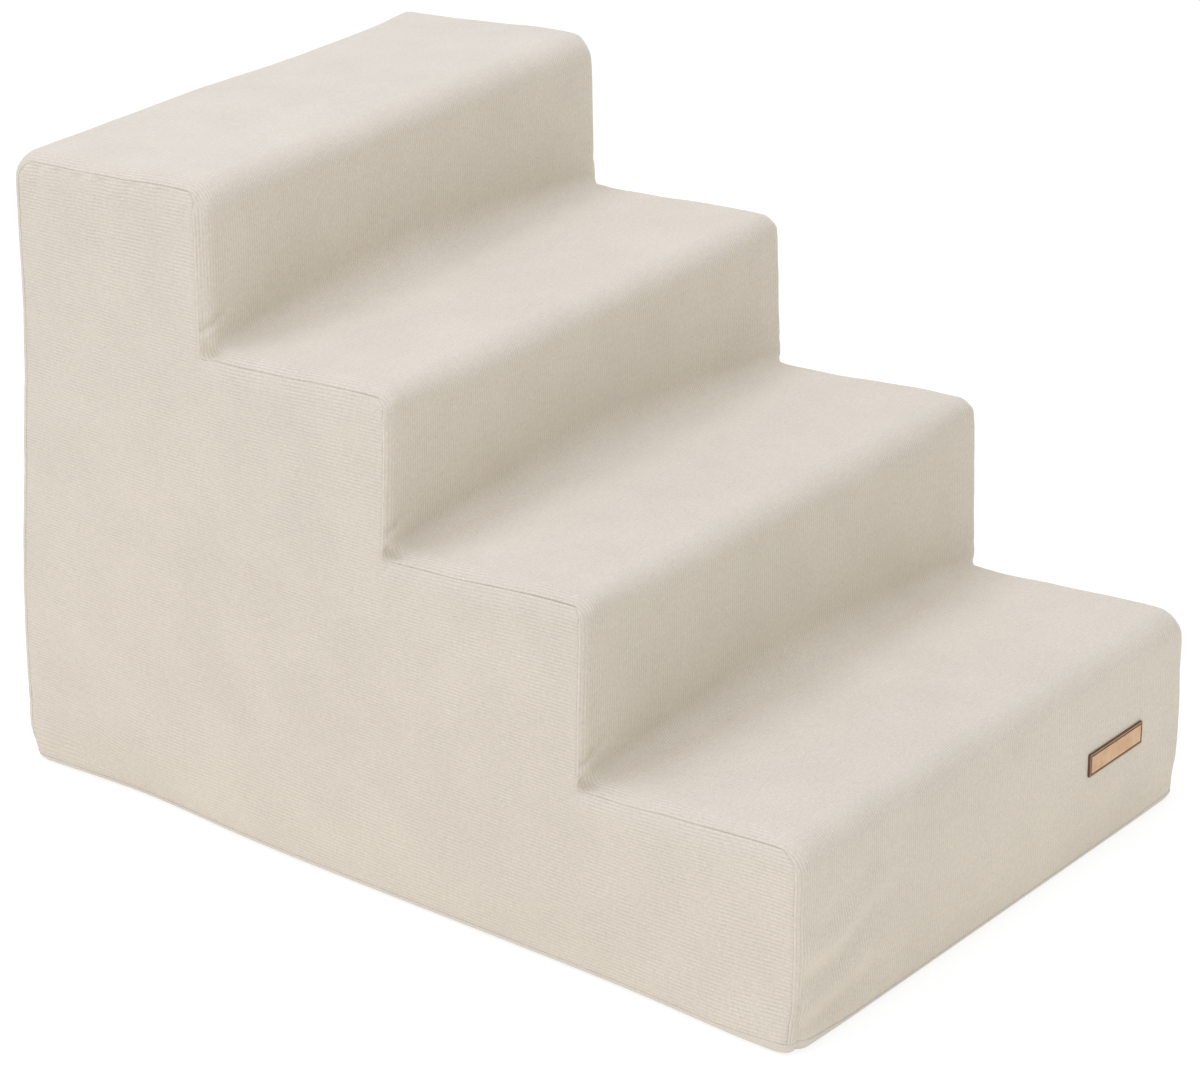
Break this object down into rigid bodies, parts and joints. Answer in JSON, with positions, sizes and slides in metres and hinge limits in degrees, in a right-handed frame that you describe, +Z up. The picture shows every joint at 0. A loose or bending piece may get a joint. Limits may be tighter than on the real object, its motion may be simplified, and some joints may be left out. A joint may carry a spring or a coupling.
{
  "type": "pet stairs",
  "caption": "Soft foam stairs that let a small pet walk up to a bed or sofa, in a fitted ribbed-cord cover with a zip low on the back and a bare leather tag on the front.",
  "frame": {"origin": "on the floor, at the middle of the whole part's footprint", "axes": "+X across the steps, +Y towards the tall back, +Z up; a pet climbs towards +Y"},
  "size_m": [0.4024, 0.6054, 0.402],
  "materials": {
    "foam": "open-cell polyurethane foam, cut faces",
    "cord_cloth": "fine-ribbed cotton cord, natural cream, matt",
    "base_cloth": "cream cloth with a dotted grip on the underside",
    "thread": "spun polyester sewing thread",
    "zip_tape": "woven polyester tape, cream",
    "zip_coil": "nylon monofilament, cream",
    "zip_metal": "nickel-plated zinc, satin",
    "tag_leather": "vegetable-tanned leather, burnt edges and engraved border",
    "label_satin": "white polyester satin ribbon, blank"
  },
  "bodies": {
    "stairs": {"foam_slab_1": "foam", "foam_slab_2": "foam", "foam_slab_3": "foam", "foam_slab_4": "foam", "step_band": "cord_cloth", "left_side_panel": "cord_cloth", "right_side_panel": "cord_cloth", "back_lower_strip": "cord_cloth", "base_panel": "base_cloth", "left_seam_thread": "thread", "right_seam_thread": "thread", "base_seam_thread": "thread", "zip_tape_upper": "zip_tape", "zip_tape_lower": "zip_tape", "zip_coil_upper": "zip_coil", "zip_coil_lower": "zip_coil", "zip_top_stops": "zip_metal", "zip_bottom_stop": "zip_metal", "zip_stitches_upper": "thread", "zip_stitches_lower": "thread", "zip_end_tacks": "thread", "leather_tag": "tag_leather", "care_label": "label_satin"},
    "slider": {"zip_slider": "zip_metal"},
    "pull_tab": {"zip_pull_tab": "zip_metal"}
  },
  "joints": [
    {"name": "zip_slide", "type": "slide", "parent": "stairs", "child": "slider", "axis": [-1, 0, 0], "range_m": [0, 0.3384]},
    {"name": "pull_tab_hinge", "type": "hinge", "parent": "slider", "child": "pull_tab", "pos_m": [0.1692, 0.30045, 0.04], "axis": [0, 0, -1], "range_deg": [0, 170]}
  ]
}
